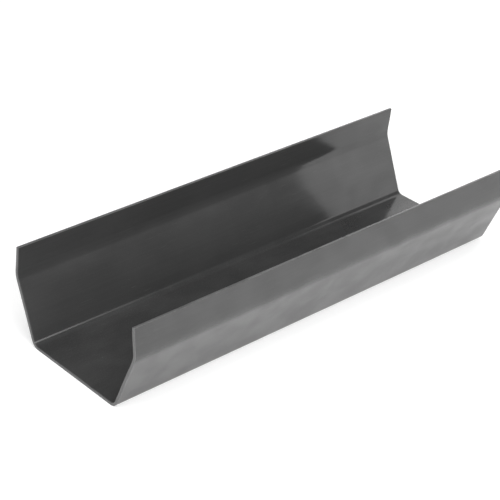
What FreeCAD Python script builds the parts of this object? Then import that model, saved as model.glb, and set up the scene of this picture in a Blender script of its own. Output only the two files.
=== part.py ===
"""Square-line rain gutter, one extruded length of rigid PVC, open at the top and sawn square at both ends.

The extrusion is one wall thickness all round: a flat base, two lower walls that flare outwards from it,
and above a soft bend two upper walls that lean back in to the rims. It is drawn as its outside, padded
along its length, bent at four edges and then shelled inwards from the mouth and the two ends.

Frame: +X along the gutter, +Y across it, +Z up. The origin is in the middle of the length and width, on
the underside of the base. All sizes are in millimetres.
"""

import FreeCAD, Part
import os
import Sketcher

PARTS_FOLDER = "parts"
NODE = "gutter"
SAME_PLACE = 1e-6  # two places closer than this, in mm, are the same place

# alias, value, what the cell holds
DRIVING_SIZES = [
    ("section_length", 320.0, "sawn length of this piece"),
    ("depth", 63.0, "underside of the base to the rims"),
    ("mouth_width", 111.0, "across the rims, outside"),
    ("bend_width", 114.4, "across the two side bends, outside, before they are rounded"),
    ("bend_height", 42.7, "underside of the base to the side bends"),
    ("base_width", 79.0, "across the two base corners, outside, before they are rounded"),
    ("wall", 1.9, "wall thickness, the same all round"),
    ("base_radius", 6.5, "outside radius of the two base corners"),
    ("bend_radius", 15.0, "outside radius of the two side bends"),
    ("rim_radius", 0.5, "rounding of the long edges of both rims"),
]


def make_size_sheet(doc):
    """The spreadsheet that drives every feature, one aliased cell for each size."""
    sheet = doc.addObject("Spreadsheet::Sheet", "Sizes")
    for row, (alias, value, meaning) in enumerate(DRIVING_SIZES, start=1):
        sheet.set(f"A{row}", alias)
        sheet.set(f"B{row}", str(value))
        sheet.set(f"C{row}", meaning)
        sheet.setAlias(f"B{row}", alias)
    doc.recompute()
    return sheet


def origin_plane(body, role):
    return next(plane for plane in body.Origin.OriginFeatures if plane.Role == role)


def sketch_outside(body, sheet):
    """The outside of the section: a hexagon, the same either side of the middle, standing on its base.

    Corners run round from the base: base right, bend right, rim right, rim left, bend left, base left.
    """
    sketch = body.newObject("Sketcher::SketchObject", "outside_section")
    sketch.AttachmentSupport = (origin_plane(body, "YZ_Plane"), [""])
    sketch.MapMode = "FlatFace"

    half_base = sheet.base_width / 2
    half_bend = sheet.bend_width / 2
    half_mouth = sheet.mouth_width / 2
    right_side = [(half_base, 0.0), (half_bend, sheet.bend_height), (half_mouth, sheet.depth)]
    left_side = [(-across, up) for across, up in reversed(right_side)]
    corners = [FreeCAD.Vector(across, up, 0) for across, up in right_side + left_side]

    count = len(corners)
    for i in range(count):
        sketch.addGeometry(Part.LineSegment(corners[i], corners[(i + 1) % count]), False)
    for i in range(count):
        sketch.addConstraint(Sketcher.Constraint("Coincident", i, 2, (i + 1) % count, 1))

    # Line i starts at corner i. Geometry -1 is the sketch's horizontal axis and -2 its vertical one.
    base_right, bend_right, rim_right, rim_left, bend_left, base_left = range(count)
    for right, left in ((base_right, base_left), (bend_right, bend_left), (rim_right, rim_left)):
        sketch.addConstraint(Sketcher.Constraint("Symmetric", right, 1, left, 1, -2))
    sketch.addConstraint(Sketcher.Constraint("PointOnObject", base_right, 1, -1))

    def driven(kind, first, second, value, alias):
        number = sketch.addConstraint(Sketcher.Constraint(kind, first, 1, second, 1, value))
        sketch.renameConstraint(number, alias)
        sketch.setExpression(f"Constraints.{alias}", f"Sizes.{alias}")

    driven("DistanceX", base_left, base_right, sheet.base_width, "base_width")
    driven("DistanceX", bend_left, bend_right, sheet.bend_width, "bend_width")
    driven("DistanceX", rim_left, rim_right, sheet.mouth_width, "mouth_width")
    driven("DistanceY", base_right, bend_right, sheet.bend_height, "bend_height")
    driven("DistanceY", base_right, rim_right, sheet.depth, "depth")
    return sketch


def long_edges(shape, height, half_width=None):
    """Names of the edges that run the whole length at this height, all of them or one pair.

    The pair is the one that lies half_width either side of the middle.
    """
    length = shape.BoundBox.XLength
    names = []
    for number, edge in enumerate(shape.Edges, start=1):
        middle = edge.CenterOfMass
        runs_along = abs(edge.BoundBox.XLength - length) < SAME_PLACE
        at_height = abs(middle.z - height) < SAME_PLACE
        in_pair = half_width is None or abs(abs(middle.y) - half_width) < SAME_PLACE
        if runs_along and at_height and in_pair:
            names.append(f"Edge{number}")
    return names


def open_faces(shape):
    """Names of the faces that the shell leaves open: the flat top and the two sawn ends."""
    top = shape.BoundBox.ZMax
    names = []
    for number, face in enumerate(shape.Faces, start=1):
        box = face.BoundBox
        is_top = box.ZMin > top - SAME_PLACE
        is_end = box.XLength < SAME_PLACE
        if is_top or is_end:
            names.append(f"Face{number}")
    return names


def round_edges(body, name, base, edges, radius_alias):
    fillet = body.newObject("PartDesign::Fillet", name)
    fillet.Base = (base, edges)
    fillet.setExpression("Radius", f"Sizes.{radius_alias}")
    body.Document.recompute()
    return fillet


def make_gutter(doc, sheet):
    body = doc.addObject("PartDesign::Body", "gutter_body")
    body.Label = NODE
    section = sketch_outside(body, sheet)
    doc.recompute()

    bar = body.newObject("PartDesign::Pad", "solid_bar")
    bar.Profile = section
    bar.Midplane = True
    bar.setExpression("Length", "Sizes.section_length")
    doc.recompute()

    base_edges = long_edges(bar.Shape, 0.0, sheet.base_width / 2)
    with_corners = round_edges(body, "base_corners", bar, base_edges, "base_radius")
    bend_edges = long_edges(with_corners.Shape, sheet.bend_height, sheet.bend_width / 2)
    with_bends = round_edges(body, "side_bends", with_corners, bend_edges, "bend_radius")

    shell = body.newObject("PartDesign::Thickness", "shell")
    shell.Base = (with_bends, open_faces(with_bends.Shape))
    shell.Mode = "Skin"
    shell.Join = "Arc"
    shell.Reversed = True
    shell.setExpression("Value", "Sizes.wall")
    doc.recompute()

    rim_edges = long_edges(shell.Shape, sheet.depth)
    round_edges(body, "rims", shell, rim_edges, "rim_radius")
    return body


def check(doc, bodies):
    for item in doc.Objects:
        if "Invalid" in item.State or "Error" in item.State:
            raise RuntimeError(f"{item.Name} failed: {item.State}")
    for body in bodies:
        if body.Shape.isNull() or not body.Shape.isValid() or len(body.Shape.Solids) != 1:
            raise RuntimeError(f"{body.Label} is not one valid solid")


def main():
    doc = FreeCAD.newDocument("square_line_gutter")
    sheet = make_size_sheet(doc)
    gutter = make_gutter(doc, sheet)
    doc.recompute()
    check(doc, [gutter])

    os.makedirs(PARTS_FOLDER, exist_ok=True)
    gutter.Shape.exportStep(os.path.join(PARTS_FOLDER, f"{gutter.Label}.step"))
    box = gutter.Shape.BoundBox
    print(f"{gutter.Label}: {box.XLength:.2f} x {box.YLength:.2f} x {box.ZLength:.2f} mm,")
    print(f"volume {gutter.Shape.Volume / 1000:.2f} cm3, {len(gutter.Shape.Faces)} faces")


main()
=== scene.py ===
# %% [markdown]
# # A short length of square-line gutter
#
# This lesson dresses one real object: a sawn length of dark grey rain gutter, extruded in rigid PVC.
# The construction comes first and is fixed. It gives one solid, whose size nothing here may change.
# What is left to do is what the eye sees: soft arcs instead of facets, the gloss of extruded plastic,
# the faint lines that the die leaves, the matte sawn ends, and a bright white table under soft light.

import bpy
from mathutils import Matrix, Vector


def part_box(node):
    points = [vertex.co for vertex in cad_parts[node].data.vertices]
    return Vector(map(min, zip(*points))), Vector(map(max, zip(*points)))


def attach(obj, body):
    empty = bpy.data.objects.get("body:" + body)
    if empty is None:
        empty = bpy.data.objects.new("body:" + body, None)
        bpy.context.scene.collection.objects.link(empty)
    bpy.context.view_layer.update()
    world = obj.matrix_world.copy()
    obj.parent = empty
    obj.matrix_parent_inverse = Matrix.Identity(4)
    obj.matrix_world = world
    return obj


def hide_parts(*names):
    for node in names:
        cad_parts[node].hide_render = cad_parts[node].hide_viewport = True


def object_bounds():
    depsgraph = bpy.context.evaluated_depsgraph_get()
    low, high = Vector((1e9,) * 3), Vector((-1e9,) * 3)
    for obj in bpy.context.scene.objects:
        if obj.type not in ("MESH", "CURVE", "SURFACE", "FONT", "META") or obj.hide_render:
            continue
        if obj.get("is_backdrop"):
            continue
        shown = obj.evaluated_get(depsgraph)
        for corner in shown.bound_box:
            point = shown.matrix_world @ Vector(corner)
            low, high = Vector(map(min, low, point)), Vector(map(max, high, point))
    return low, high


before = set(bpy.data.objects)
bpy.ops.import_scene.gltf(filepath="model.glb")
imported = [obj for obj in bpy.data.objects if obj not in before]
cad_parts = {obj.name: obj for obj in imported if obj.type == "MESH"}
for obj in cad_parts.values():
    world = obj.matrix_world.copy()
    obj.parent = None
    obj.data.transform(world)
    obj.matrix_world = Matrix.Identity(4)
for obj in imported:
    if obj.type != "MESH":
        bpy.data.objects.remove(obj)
cad_box = [list(corner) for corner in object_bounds()]

# %% [markdown]
# ## Measures
#
# Lengths are in metres, and +X runs along the gutter, +Y across it and +Z up out of its mouth.
# The box of the solid says how long, wide and deep it is. The sizes of its section are the ones a
# drawing of the profile would carry: the base, the flared lower walls, the bends and the rims.

# %% Sizes of the section
import math

import bmesh
import bpy
import numpy as np
from mathutils import Matrix, Vector

NODE = "gutter"
MM = 0.001

low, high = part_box(NODE)
LENGTH = high.x - low.x
DEPTH = high.z - low.z
MOUTH_WIDTH = 111.0 * MM
BEND_WIDTH = 114.4 * MM
BEND_HEIGHT = 42.7 * MM
BASE_WIDTH = 79.0 * MM
WALL = 1.9 * MM
BASE_RADIUS = 6.5 * MM
BEND_RADIUS = 15.0 * MM
RIM_RADIUS = 0.5 * MM

print(f"gutter: {LENGTH / MM:.1f} long, {(high.y - low.y) / MM:.1f} wide, {DEPTH / MM:.1f} mm deep")

# %% [markdown]
# ## The section as a line with rounded corners
#
# An extrusion is one outline pushed through a die, so the outline is where the care goes. It is drawn
# as a few straight runs, and each corner is swapped for an arc that touches both runs. That is better
# than subdividing a rough shape: the flats stay flat, and a bend keeps the radius it was given.
# Each run is also cut into short steps, so that the walls can be made a little uneven later.

# %% Round the corners of a line
# From one rim to the other: how finely each corner's arc and each straight run is cut.
ARC_STEPS = [6, 9, 14, 14, 9, 6]
RUN_STEPS = [1, 6, 10, 18, 10, 6, 1]


def unit(vector):
    return vector / np.linalg.norm(vector)


def cuts(steps):
    """Where a straight run is cut, as shares of its length, closer together towards its two ends."""
    return [(1 - math.cos(math.pi * step / steps)) / 2 for step in range(1, steps)]


def arc_points(before, corner, after, radius, steps):
    """The points of the arc that touches both runs at this corner."""
    towards_before = unit(before - corner)
    towards_after = unit(after - corner)
    opening = math.acos(towards_before @ towards_after)
    reach = radius / math.tan(opening / 2)
    centre = corner + unit(towards_before + towards_after) * radius / math.sin(opening / 2)
    first = unit(corner + towards_before * reach - centre)
    last = unit(corner + towards_after * reach - centre)
    turn = math.pi - opening
    points = []
    for step in range(steps + 1):
        angle = turn * step / steps
        blend = math.sin(turn - angle) * first + math.sin(angle) * last
        points.append(centre + radius * blend / math.sin(turn))
    return points


def rounded_line(corners, radii):
    """A line through the corners, with an arc at each inner one, and its straight runs cut into steps."""
    stretches = [[corners[0]]]
    for i, (radius, steps) in enumerate(zip(radii, ARC_STEPS), start=1):
        stretches.append(arc_points(corners[i - 1], corners[i], corners[i + 1], radius, steps))
    stretches.append([corners[-1]])
    points = list(stretches[0])
    for steps, stretch, following in zip(RUN_STEPS, stretches, stretches[1:]):
        run = following[0] - stretch[-1]
        points += [stretch[-1] + run * share for share in cuts(steps)]
        points += following
    return np.array(points)


# %% [markdown]
# ## Outside and inside of the wall
#
# The wall is one thickness all round, so the inside is the outside moved in by that thickness, and its
# arcs share their centres with the outer ones. Both lines start at the middle of one rim and end at
# the middle of the other, and both have the same number of points. So every outer point has an inner
# partner, and the sawn ends can be closed with neat four-sided faces.

# %% Outer and inner line of the section
def crossing(first_start, first_way, second_start, second_way):
    """Where two straight lines in the plane of the section cross."""
    along, _ = np.linalg.solve(np.column_stack([first_way, -second_way]), second_start - first_start)
    return first_start + first_way * along


def wall_corners():
    """The sharp corners of the wall's outside and of its inside, from one rim to the other."""
    half = [(MOUTH_WIDTH / 2, DEPTH), (BEND_WIDTH / 2, BEND_HEIGHT), (BASE_WIDTH / 2, 0.0)]
    outer = [np.array([-across, up]) for across, up in half]
    outer += [np.array([across, up]) for across, up in reversed(half)]
    ways = [unit(end - start) for start, end in zip(outer, outer[1:])]
    inwards = [np.array([-way[1], way[0]]) for way in ways]
    starts = [corner + side * WALL for corner, side in zip(outer, inwards)]
    inner = [crossing(starts[i], ways[i], starts[i + 1], ways[i + 1]) for i in range(len(ways) - 1)]
    level = np.array([1.0, 0.0])
    inner.insert(0, crossing(starts[0], ways[0], outer[0], level))
    inner.append(crossing(starts[-1], ways[-1], outer[-1], level))
    return outer, inner


def section_lines():
    outer, inner = wall_corners()
    rims = [(outer[0] + inner[0]) / 2, (outer[-1] + inner[-1]) / 2]
    outer_radii = [RIM_RADIUS, BEND_RADIUS, BASE_RADIUS]
    inner_radii = [RIM_RADIUS, BEND_RADIUS - WALL, BASE_RADIUS - WALL]
    outside = rounded_line([rims[0], *outer, rims[1]], outer_radii + outer_radii[::-1])
    inside = rounded_line([rims[0], *inner, rims[1]], inner_radii + inner_radii[::-1])
    return outside, inside


outside, inside = section_lines()
print(f"the section has {len(outside)} pairs of points")

# %% [markdown]
# ## Walls that are nearly flat
#
# Extruded plastic cools unevenly, so its walls are never quite flat: they draw in by a tenth of a
# millimetre and waver along their length. Nobody sees the unevenness itself, but a glossy wall bends
# its reflections with it, and a perfect plane would look like glass. It is put in the mesh rather
# than in the material, because it is a shape. Everything moves inwards, so the box stays as it was.

# %% How far a wall is drawn in
DRAWN_IN = 0.14 * MM
STEADY = 0.55  # the part of it that is the same all along; the rest comes and goes with the ripples
# Wavelength along the gutter and share of the whole, for each ripple.
RIPPLES = [(0.143, 0.5), (0.083, 0.3), (0.049, 0.2)]
TURN_ROUND_SECTION = 9.0  # how much a ripple shifts from one point of the section to the next, in radians
TURN_BETWEEN_RIPPLES = 70.0  # and from one ripple to another, in radians for a metre of wavelength


def span_shares():
    """How far each point is across its own straight run: 0 at the run's ends and 1 in its middle."""
    shares = [0.0]
    for steps, arc in zip(RUN_STEPS, ARC_STEPS + [0]):
        shares += [math.sin(math.pi * share) ** 2 for share in cuts(steps)]
        shares += [0.0] * (arc + 1)
    return np.array(shares)


def drawn_in(x, place):
    """How far the wall at this point of the section and this place along it lies inside its true plane."""
    wave = 0.0
    for wavelength, share in RIPPLES:
        shift = place * TURN_ROUND_SECTION + wavelength * TURN_BETWEEN_RIPPLES
        wave += share * math.sin(2 * math.pi * x / wavelength + shift)
    return DRAWN_IN * (STEADY + (1 - STEADY) * wave)


shares = span_shares()
inwards = inside - outside
wall_gap = np.linalg.norm(inwards, axis=1)
inwards[1:-1] /= wall_gap[1:-1, None]
inwards[[0, -1]] = (0.0, -1.0)
print(f"the walls draw in by up to {DRAWN_IN / MM:.2f} mm")

# %% [markdown]
# ## Sweeping the section along the length
#
# A curve with a bevel profile would sweep it too, but a mesh built ring by ring keeps the pairs of
# points together. The rings stand about 4 mm apart. At each end the last ring is a touch smaller, so
# that the sawn edge is eased by a tenth of a millimetre, as a saw and a quick rub leave it. That tiny
# chamfer is what catches the light as a thin bright line. One more ring stands just under a millimetre
# in from each end, where the wear of the sawn edge stops, so that the wear can't spread any further.

# %% Where the rings stand
RING_PITCH = 4.0 * MM
EASED = 0.12 * MM
END_REACH = 0.9 * MM  # how far in from a sawn end its wear reaches


def ring_places():
    """Places along the length, each with how far its ring is shrunk."""
    edge = LENGTH / 2
    count = round((LENGTH - 2 * END_REACH) / RING_PITCH)
    inner = [(x, 0.0) for x in np.linspace(END_REACH - edge, edge - END_REACH, count + 1)]
    return [(-edge, EASED), (EASED - edge, 0.0), *inner, (edge - EASED, 0.0), (edge, EASED)]


def ring(x, shrink):
    """The closed ring of points at one place: along the outside, then back along the inside."""
    sink = np.array([drawn_in(x, place) for place in range(len(outside))]) * shares
    outer = outside + inwards * (sink + shrink)[:, None]
    outer[:, 0] = np.clip(outer[:, 0], low.y, high.y)
    back = inwards.copy()
    back[1:-1] *= -1
    inner = inside + inwards * sink[:, None] + back * shrink
    points = [*outer, *inner[-2:0:-1]]
    return [Vector((x, across, up)) for across, up in points]


places = ring_places()
print(f"{len(places)} rings, {len(ring(0.0, 0.0))} points in each")

# %% [markdown]
# ## How exposed each point is
#
# Wear follows the shape. The tops of the rims and the sawn edges rub against other lengths in the
# stack, and the rounded corners of the base slide over the van floor, while the flats between them
# hardly touch anything. So each point carries a number from 0 to 1 that says how exposed it is, and
# the material turns it into wear. The number fades out evenly away from the edge, which keeps the wear
# in one unbroken line.

# %% Exposure of a point
RIM_REACH = 0.45 * MM
CORNER_REACH = 4.3 * MM
CORNER_EXPOSURE = 0.45


def exposure(x, across, up, on_outside):
    """From 0 to 1: the top of a rim and a sawn edge fully, the outside of a base corner a little."""
    rim = 1 - (DEPTH - up) / RIM_REACH
    end = 1 - (LENGTH / 2 - abs(x)) / END_REACH
    from_corner = math.hypot(abs(across) - BASE_WIDTH / 2, up)
    corner = CORNER_EXPOSURE * (1 - from_corner / CORNER_REACH) if on_outside else 0.0
    return max(0.0, rim, end, corner)


# %% [markdown]
# ## The mesh
#
# Side faces join each ring to the next. The two ends are closed by faces between each outer point and
# its inner partner, and they get their own material, because a sawn face is matte and paler. A
# Weighted Normal modifier lets the broad flats rule the shading, so the narrow faces of an arc don't
# bend the light on the wall beside them.

# %% Build the gutter
SAWN = 1  # the second of the two materials
SHARP_FROM = math.radians(35)
FLATS_RULE = 90  # how strongly the broad faces set the shading, out of 100


def close_end(mesh, points, flip):
    """Fills one sawn end with faces between the outer and the inner line of its ring."""
    count = len(outside)
    partners = [points[0], *points[:count - 1:-1], points[count - 1]]
    for i in range(count - 1):
        corners = [points[i], points[i + 1], partners[i + 1], partners[i]]
        corners = list(dict.fromkeys(corners))
        face = mesh.faces.new(corners if flip else corners[::-1])
        face.material_index = SAWN
        face.smooth = False


def build_gutter(name):
    mesh = bmesh.new()
    exposed = mesh.verts.layers.float.new("exposed")
    rings = []
    for x, shrink in places:
        points = [mesh.verts.new(point) for point in ring(x, shrink)]
        for i, point in enumerate(points):
            point[exposed] = exposure(x, point.co.y, point.co.z, i < len(outside))
        rings.append(points)
    for here, there in zip(rings, rings[1:]):
        for i in range(len(here)):
            j = (i + 1) % len(here)
            mesh.faces.new([here[i], there[i], there[j], here[j]]).smooth = True
    close_end(mesh, rings[0], flip=False)
    close_end(mesh, rings[-1], flip=True)
    bmesh.ops.recalc_face_normals(mesh, faces=mesh.faces)
    data = bpy.data.meshes.new(name)
    mesh.to_mesh(data)
    mesh.free()
    data.set_sharp_from_angle(angle=SHARP_FROM)
    piece = bpy.data.objects.new(name, data)
    bpy.context.scene.collection.objects.link(piece)
    weighted = piece.modifiers.new("broad flats rule", "WEIGHTED_NORMAL")
    weighted.keep_sharp = True
    weighted.weight = FLATS_RULE
    return piece


gutter = build_gutter("gutter_length")
print(f"{gutter.name}: {len(gutter.data.vertices)} points, {len(gutter.data.polygons)} faces")

# %% [markdown]
# ## Small tools for materials
#
# A material is a graph, and long graphs are hard to read in code. Two helpers keep it short: one adds
# a node and sets its inputs, and one starts a shader node group with named inputs and outputs. Places
# on the surface come from the object's own coordinates, in metres, so a pattern has a real size.

# %% Helpers for node graphs
def add(tree, kind, settings=None, **inputs):
    """A node of this kind. An input is a plain value, or a socket to link from."""
    node = tree.nodes.new(kind)
    for key, value in (settings or {}).items():
        setattr(node, key, value)
    for key, value in inputs.items():
        socket = node.inputs[int(key[1:])] if key[0] == "_" else node.inputs[key.replace("_", " ")]
        if isinstance(value, bpy.types.NodeSocket):
            tree.links.new(value, socket)
        else:
            socket.default_value = value
    return node


def calculate(tree, operation, first, second=0.0):
    node = add(tree, "ShaderNodeMath", {"operation": operation}, _0=first, _1=second)
    return node.outputs[0]


def ramp(tree, value, from_low, from_high, to_low=0.0, to_high=1.0):
    """Eases a value between two limits onto two others, and holds it there."""
    node = add(tree, "ShaderNodeMapRange", {"interpolation_type": "SMOOTHSTEP"}, Value=value)
    node.inputs["From Min"].default_value = from_low
    node.inputs["From Max"].default_value = from_high
    node.inputs["To Min"].default_value = to_low
    node.inputs["To Max"].default_value = to_high
    return node.outputs["Result"]


def place_on_object(tree, scale=(1, 1, 1), turn=(0, 0, 0)):
    """The place on the object in metres, stretched and turned."""
    where = add(tree, "ShaderNodeTexCoord").outputs["Object"]
    return add(tree, "ShaderNodeMapping", Vector=where, Scale=scale, Rotation=turn).outputs["Vector"]


def noise(tree, where, scale, detail=2.0, roughness=0.5):
    node = add(tree, "ShaderNodeTexNoise", Vector=where, Scale=scale, Detail=detail, Roughness=roughness)
    return node.outputs["Fac"]


def start_group(name, inputs, outputs):
    """A shader node group with named number inputs, each with its usual value, and named outputs."""
    group = bpy.data.node_groups.new(name, "ShaderNodeTree")
    for label, value in inputs.items():
        socket = group.interface.new_socket(label, in_out="INPUT", socket_type="NodeSocketFloat")
        socket.default_value = value
    for label in outputs:
        group.interface.new_socket(label, in_out="OUTPUT", socket_type="NodeSocketFloat")
    return group, group.nodes.new("NodeGroupInput").outputs, group.nodes.new("NodeGroupOutput").inputs


def place_group(tree, group, **values):
    return add(tree, "ShaderNodeGroup", {"node_tree": group}, **values).outputs


# %% [markdown]
# ## Clouding
#
# No batch of PVC is one even grey. Filler and carbon are mixed in by a screw, so the colour drifts
# softly over a few centimetres, and the skin is a little duller where the die ran cooler. One slow
# noise does for both, and both the skin and the sawn faces use it.

# %% Group: clouding
def clouding_group():
    group, given, made = start_group("Clouding", {"Patch": 0.03}, ["Cloud"])
    size = calculate(group, "DIVIDE", 1.0, given["Patch"])
    drift = noise(group, place_on_object(group, scale=(0.5, 1, 1)), size, detail=3)
    group.links.new(ramp(group, drift, 0.3, 0.7), made["Cloud"])
    return group


CLOUDING = clouding_group()

# %% [markdown]
# ## Die lines
#
# A die is never polished perfectly, and every speck in it draws a line the whole length of the
# gutter. So the noise is squeezed across the section and stretched out along it, which turns its
# grains into hair-thin streaks.

# %% Group: die lines
LINE_STRETCH = 0.002


def die_lines_group():
    group, given, made = start_group("Die lines", {"Pitch": 0.002}, ["Lines"])
    size = calculate(group, "DIVIDE", 1.0, given["Pitch"])
    streaks = noise(group, place_on_object(group, scale=(LINE_STRETCH, 1, 1)), size, detail=5, roughness=0.65)
    group.links.new(ramp(group, streaks, 0.25, 0.75), made["Lines"])
    return group


DIE_LINES = die_lines_group()

# %% [markdown]
# ## Scuffs and dust
#
# A length off the rack has been slid over others and carried by hand. Scuffs are short hairlines in a
# few directions, made from stretched noise that only shows where a slow noise lets it. Dust gathers
# on what faces up, and there it dulls the gloss more than it changes the colour.

# %% Groups: scuffs and dust
SCUFF_TURNS = [(0.2, 0.1, 0.35), (-0.15, 0.3, -0.5), (0.1, -0.2, 1.2)]
HAIR_STRETCH = 0.05
DRIFT_SHARE = 0.4  # of the dust, what lies in soft drifts; the rest is single grains


def scuffs_group():
    group, given, made = start_group("Scuffs", {"Amount": 0.5}, ["Scuffed"])
    total = 0.0
    for i, turn in enumerate(SCUFF_TURNS):
        along_hair = place_on_object(group, scale=(HAIR_STRETCH, 1, 1), turn=turn)
        hair = noise(group, along_hair, 1800 + 300 * i, detail=1)
        where = noise(group, place_on_object(group, turn=turn), 30 + 9 * i, detail=2)
        thin = ramp(group, hair, 0.66, 0.74)
        shown = calculate(group, "MULTIPLY", thin, ramp(group, where, 0.52, 0.76))
        total = calculate(group, "MAXIMUM", shown, total)
    group.links.new(calculate(group, "MULTIPLY", total, given["Amount"]), made["Scuffed"])
    return group


def dust_group():
    group, given, made = start_group("Dust", {"Amount": 0.5}, ["Dusty"])
    facing = add(group, "ShaderNodeSeparateXYZ", _0=add(group, "ShaderNodeNewGeometry").outputs["Normal"])
    upward = ramp(group, facing.outputs["Z"], 0.1, 1.0)
    grains = ramp(group, noise(group, place_on_object(group), 1500, detail=2), 0.5, 0.75)
    drifts = ramp(group, noise(group, place_on_object(group, scale=(0.6, 1, 1)), 45, detail=4), 0.35, 0.7)
    in_drifts = calculate(group, "MULTIPLY", drifts, DRIFT_SHARE)
    in_grains = calculate(group, "MULTIPLY", grains, 1 - DRIFT_SHARE)
    settled = calculate(group, "MULTIPLY", upward, calculate(group, "ADD", in_drifts, in_grains))
    group.links.new(calculate(group, "MULTIPLY", settled, given["Amount"]), made["Dusty"])
    return group


SCUFFS = scuffs_group()
DUST = dust_group()
print("groups:", ", ".join(group.name for group in (CLOUDING, DIE_LINES, SCUFFS, DUST)))

# %% [markdown]
# ## The extruded skin
#
# Rigid PVC comes out of the die with a smooth, half-glossy skin: dark and neutral where it faces the
# light, and nearly a mirror at a shallow angle. A Principled shader gives that by itself from its
# index of refraction. The groups above then vary the colour a little and the roughness a bit more,
# and a faint bump carries the die lines into the highlights.
#
# Handling and rain leave a thin uneven film on the skin, which reflects a little more in some places
# than in others. It is the shader's coat, with a soft noise for its weight. A change of roughness alone
# would have to be large to show as much. Scuffs, dust and worn edges are paler than the plastic.

# %% Material: extruded skin
SKIN_GREY = 0.038
SKIN_ROUGHNESS = 0.13
PVC_IOR = 1.53
FILM = 0.3  # the most coat that the film gives
FILM_IOR = 1.4
LINE_GREY = SKIN_GREY * 1.35
DUST_GREY = 0.22
SCUFF_GREY = 0.16
WORN_GREY = 0.115
CLOUD_COLOUR = 0.08  # how far the colour drifts either way
CLOUD_ROUGHNESS = 0.15  # and the roughness
# How much each mask adds to the roughness where it is full.
ROUGHER_BY = {"lines": 0.03, "smudged": 0.04, "scuffed": 0.2, "dusty": 0.1, "worn": 0.22}


MIX_SHARE, MIX_FIRST, MIX_SECOND = 0, 6, 7
MIX_RESULT = 2


def grey(value):
    return (value, value, value, 1.0)


def mix_colour(tree, share, first, second):
    """A blend of two colours. A Mix node has sockets of several kinds, so its colours go by number."""
    node = add(tree, "ShaderNodeMix", {"data_type": "RGBA"})
    for index, value in ((MIX_SHARE, share), (MIX_FIRST, first), (MIX_SECOND, second)):
        if isinstance(value, bpy.types.NodeSocket):
            tree.links.new(value, node.inputs[index])
        else:
            node.inputs[index].default_value = value
    return node.outputs[MIX_RESULT]


def start_material(name):
    material = bpy.data.materials.new(name)
    material.use_nodes = True
    tree = material.node_tree
    return material, tree, tree.nodes["Principled BSDF"]


def extruded_skin():
    material, tree, shader = start_material("extruded_skin")
    cloud = place_group(tree, CLOUDING, Patch=0.03)["Cloud"]
    lines = place_group(tree, DIE_LINES, Pitch=0.002)["Lines"]
    smudges = noise(tree, place_on_object(tree, scale=(0.8, 1, 1)), 75, detail=2, roughness=0.4)
    smudged = ramp(tree, smudges, 0.3, 0.75)
    scuffed = place_group(tree, SCUFFS, Amount=0.45)["Scuffed"]
    dusty = place_group(tree, DUST, Amount=0.3)["Dusty"]
    exposed = add(tree, "ShaderNodeAttribute", {"attribute_name": "exposed"}).outputs["Fac"]
    harder = ramp(tree, noise(tree, place_on_object(tree), 60), 0.35, 0.6, 0.6, 1.0)
    finer = ramp(tree, noise(tree, place_on_object(tree), 2500), 0.35, 0.6, 0.75, 1.0)
    worn = calculate(tree, "MULTIPLY", exposed, calculate(tree, "MULTIPLY", harder, finer))

    darker = grey(SKIN_GREY * (1 - CLOUD_COLOUR))
    paler = grey(SKIN_GREY * (1 + CLOUD_COLOUR))
    colour = mix_colour(tree, cloud, darker, paler)
    layers = [
        (lines, 0.25, LINE_GREY),
        (dusty, 0.5, DUST_GREY),
        (scuffed, 0.35, SCUFF_GREY),
        (worn, 0.85, WORN_GREY),
    ]
    for mask, strength, shade in layers:
        colour = mix_colour(tree, calculate(tree, "MULTIPLY", mask, strength), colour, grey(shade))
    tree.links.new(colour, shader.inputs["Base Color"])

    smoothest = SKIN_ROUGHNESS * (1 - CLOUD_ROUGHNESS)
    roughest = SKIN_ROUGHNESS * (1 + CLOUD_ROUGHNESS)
    rough = ramp(tree, cloud, 0, 1, smoothest, roughest)
    masks = {"lines": lines, "smudged": smudged, "scuffed": scuffed, "dusty": dusty, "worn": worn}
    for name, amount in ROUGHER_BY.items():
        rough = calculate(tree, "ADD", rough, calculate(tree, "MULTIPLY", masks[name], amount))
    tree.links.new(rough, shader.inputs["Roughness"])

    bump = add(tree, "ShaderNodeBump", Strength=0.3, Distance=0.02 * MM, Height=lines)
    tree.links.new(bump.outputs["Normal"], shader.inputs["Normal"])
    shader.inputs["IOR"].default_value = PVC_IOR
    tree.links.new(calculate(tree, "MULTIPLY", smudged, FILM), shader.inputs["Coat Weight"])
    shader.inputs["Coat Roughness"].default_value = SKIN_ROUGHNESS
    shader.inputs["Coat IOR"].default_value = FILM_IOR
    return material


# %% [markdown]
# ## The sawn faces
#
# A saw tears the plastic instead of moulding it, so the two ends are matte and paler than the skin,
# with fine parallel marks where the teeth went through. The blade came down across the gutter, so
# the marks run across it, nearly level, and they are as deep as a scratch.

# %% Material: sawn face
SAWN_GREY = 0.085
SAWN_CLOUD = 0.15
SAWN_DUST_GREY = 0.2
MARK_GREY = SAWN_GREY * 1.6


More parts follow.
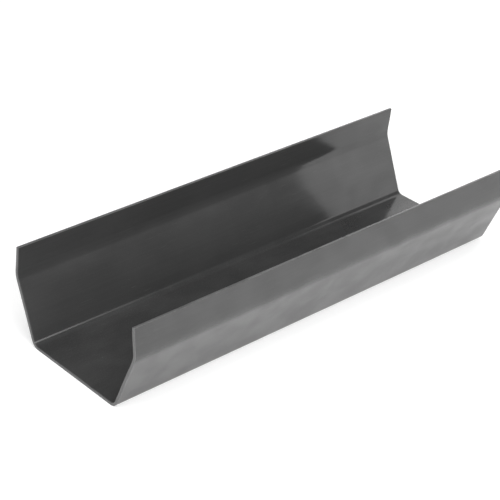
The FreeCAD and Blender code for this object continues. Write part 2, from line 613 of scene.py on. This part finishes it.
def sawn_face():
    material, tree, shader = start_material("sawn_face")
    cloud = place_group(tree, CLOUDING, Patch=0.004)["Cloud"]
    dusty = place_group(tree, DUST, Amount=0.5)["Dusty"]
    teeth = noise(tree, place_on_object(tree, scale=(1, 0.04, 1), turn=(0.12, 0, 0)), 4200, detail=3)
    marks = ramp(tree, teeth, 0.3, 0.7)
    darker = grey(SAWN_GREY * (1 - SAWN_CLOUD))
    paler = grey(SAWN_GREY * (1 + SAWN_CLOUD))
    colour = mix_colour(tree, cloud, darker, paler)
    colour = mix_colour(tree, calculate(tree, "MULTIPLY", marks, 0.4), colour, grey(MARK_GREY))
    colour = mix_colour(tree, dusty, colour, grey(SAWN_DUST_GREY))
    tree.links.new(colour, shader.inputs["Base Color"])
    tree.links.new(ramp(tree, marks, 0, 1, 0.42, 0.6), shader.inputs["Roughness"])
    bump = add(tree, "ShaderNodeBump", Strength=0.5, Distance=0.05 * MM, Height=marks)
    tree.links.new(bump.outputs["Normal"], shader.inputs["Normal"])
    shader.inputs["IOR"].default_value = PVC_IOR
    return material


for material in (extruded_skin(), sawn_face()):
    gutter.data.materials.append(material)
print("materials:", ", ".join(slot.name for slot in gutter.material_slots))

# %% [markdown]
# ## Where the piece belongs
#
# The new mesh stands for the solid, which stays hidden for the physics, and it rides on the one body
# that the object has.

# %% Tie the piece to the construction
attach(gutter, "root")
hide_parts(NODE)

# %% [markdown]
# ## A white table
#
# The table is broad and pale, and it is the brightest thing in the picture. It matters to this object
# as much as a lamp does: the flared walls of the gutter look down into it, and a glossy dark wall shows
# what it looks at. A little light of its own keeps the table white right up to the base.

# %% Table
TABLE_HALF = 1.6
TABLE_GREY = 0.8
TABLE_GLOW = 0.32
TABLE_ROUGHNESS = 0.9


def table():
    """One flat square under the gutter."""
    data = bpy.data.meshes.new("table")
    corners = [(-1, -1), (1, -1), (1, 1), (-1, 1)]
    data.from_pydata([(a * TABLE_HALF, b * TABLE_HALF, low.z) for a, b in corners], [], [(0, 1, 2, 3)])
    piece = bpy.data.objects.new("table", data)
    bpy.context.scene.collection.objects.link(piece)
    material, tree, shader = start_material("white_table")
    shader.inputs["Base Color"].default_value = grey(TABLE_GREY)
    shader.inputs["Roughness"].default_value = TABLE_ROUGHNESS
    shader.inputs["Specular IOR Level"].default_value = 0.0
    shader.inputs["Emission Color"].default_value = grey(1.0)
    shader.inputs["Emission Strength"].default_value = TABLE_GLOW
    data.materials.append(material)
    piece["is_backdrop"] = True


table()

# %% [markdown]
# ## Soft studio light
#
# Broad soft boxes hang round the table, all two metres off. Each is given as seen from the gutter: the
# way it lies in, how high it is, both in degrees, then its width and height in metres and how bright
# it is.

# %% Lights
middle = (low + high) / 2


LIGHT_DISTANCE = 2.0


def soft_box(name, heading, height, size, brightness):
    """A soft box facing the gutter. Heading 0 is towards +Y and 90 towards +X, in degrees."""
    turned = math.radians(heading)
    raised = math.radians(height)
    way = Vector((
        math.sin(turned) * math.cos(raised),
        math.cos(turned) * math.cos(raised),
        math.sin(raised),
    ))
    data = bpy.data.lights.new(name, "AREA")
    data.shape = "RECTANGLE"
    data.size, data.size_y = size
    data.energy = brightness * math.pi * size[0] * size[1]
    lamp = bpy.data.objects.new(name, data)
    lamp.location = middle + way * LIGHT_DISTANCE
    lamp.rotation_euler = way.to_track_quat("Z", "Y").to_euler()
    lamp.visible_camera = False
    bpy.context.scene.collection.objects.link(lamp)


soft_box("key", 182, 33, (2.3, 1.3), 3.9)
soft_box("top", 235, 76, (1.6, 1.2), 2.9)
soft_box("left", 234, 22, (1.0, 1.0), 4.9)
soft_box("high_left", 270, 50, (1.0, 1.0), 2.8)
soft_box("low_right", 125, 11, (1.8, 0.8), 1.5)
soft_box("low_behind", 64, 8, (1.6, 0.5), 7.0)
soft_box("behind", 66, 33, (1.3, 1.1), 1.1)

# %% [markdown]
# ## The room beyond the table
#
# Glossy plastic needs something dark to reflect, or its blacks turn milky, so the room lights the
# gutter with next to nothing. The eye should still meet a pale backdrop above the table's edge. The
# Light Path node tells the two apart: rays straight from the camera see the pale one.

# %% Room
ROOM_LIGHT = 0.04
BACKDROP = 0.92


def studio_room():
    world = bpy.data.worlds.new("studio")
    world.use_nodes = True
    tree = world.node_tree
    seen = add(tree, "ShaderNodeLightPath").outputs["Is Camera Ray"]
    colour = mix_colour(tree, seen, grey(ROOM_LIGHT), grey(BACKDROP))
    tree.links.new(colour, tree.nodes["Background"].inputs["Color"])
    return world


bpy.context.scene.world = studio_room()

# %% [markdown]
# ## Camera
#
# A long lens from about a metre away, looking down by a little over 30 degrees, along the gutter and
# across it. The camera is tilted a few degrees on its own axis. Heading 0 would look towards +Y, and
# the lens is in millimetres for a sensor 36 mm wide.

# %% Camera
HEADING, LOOKING_DOWN, TILT = (math.radians(angle) for angle in (43.95, 30.53, 3.49))
STANDPOINT = Vector((-0.6408, -0.6420, 0.5634))
LENS = 118.75
SENSOR = 36.0


def make_camera():
    ahead = Vector((
        math.sin(HEADING) * math.cos(LOOKING_DOWN),
        math.cos(HEADING) * math.cos(LOOKING_DOWN),
        -math.sin(LOOKING_DOWN),
    ))
    level = Vector((math.cos(HEADING), -math.sin(HEADING), 0))
    upright = level.cross(ahead)
    right = math.cos(TILT) * level + math.sin(TILT) * upright
    up = right.cross(ahead)
    data = bpy.data.cameras.new("camera")
    data.lens = LENS
    data.sensor_width = SENSOR
    data.clip_start, data.clip_end = 0.01, 50
    camera = bpy.data.objects.new("camera", data)
    turn = Matrix((right, up, -ahead)).transposed().to_4x4()
    camera.matrix_world = Matrix.Translation(STANDPOINT) @ turn
    bpy.context.scene.collection.objects.link(camera)
    bpy.context.scene.camera = camera


make_camera()
bpy.context.scene.view_settings.view_transform = "Standard"

# %% [markdown]
# ## Does it still fit the construction?
#
# The looks must not change the size. Both boxes are measured, the solid's and the finished
# piece's, and the largest difference between them is printed.

# %% Measure the two boxes and finish
new_box = [list(corner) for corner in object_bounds()]
growth = max(abs(a - b) for old, new in zip(cad_box, new_box) for a, b in zip(old, new))
print(f"largest difference between the boxes: {growth / MM:.3f} mm")
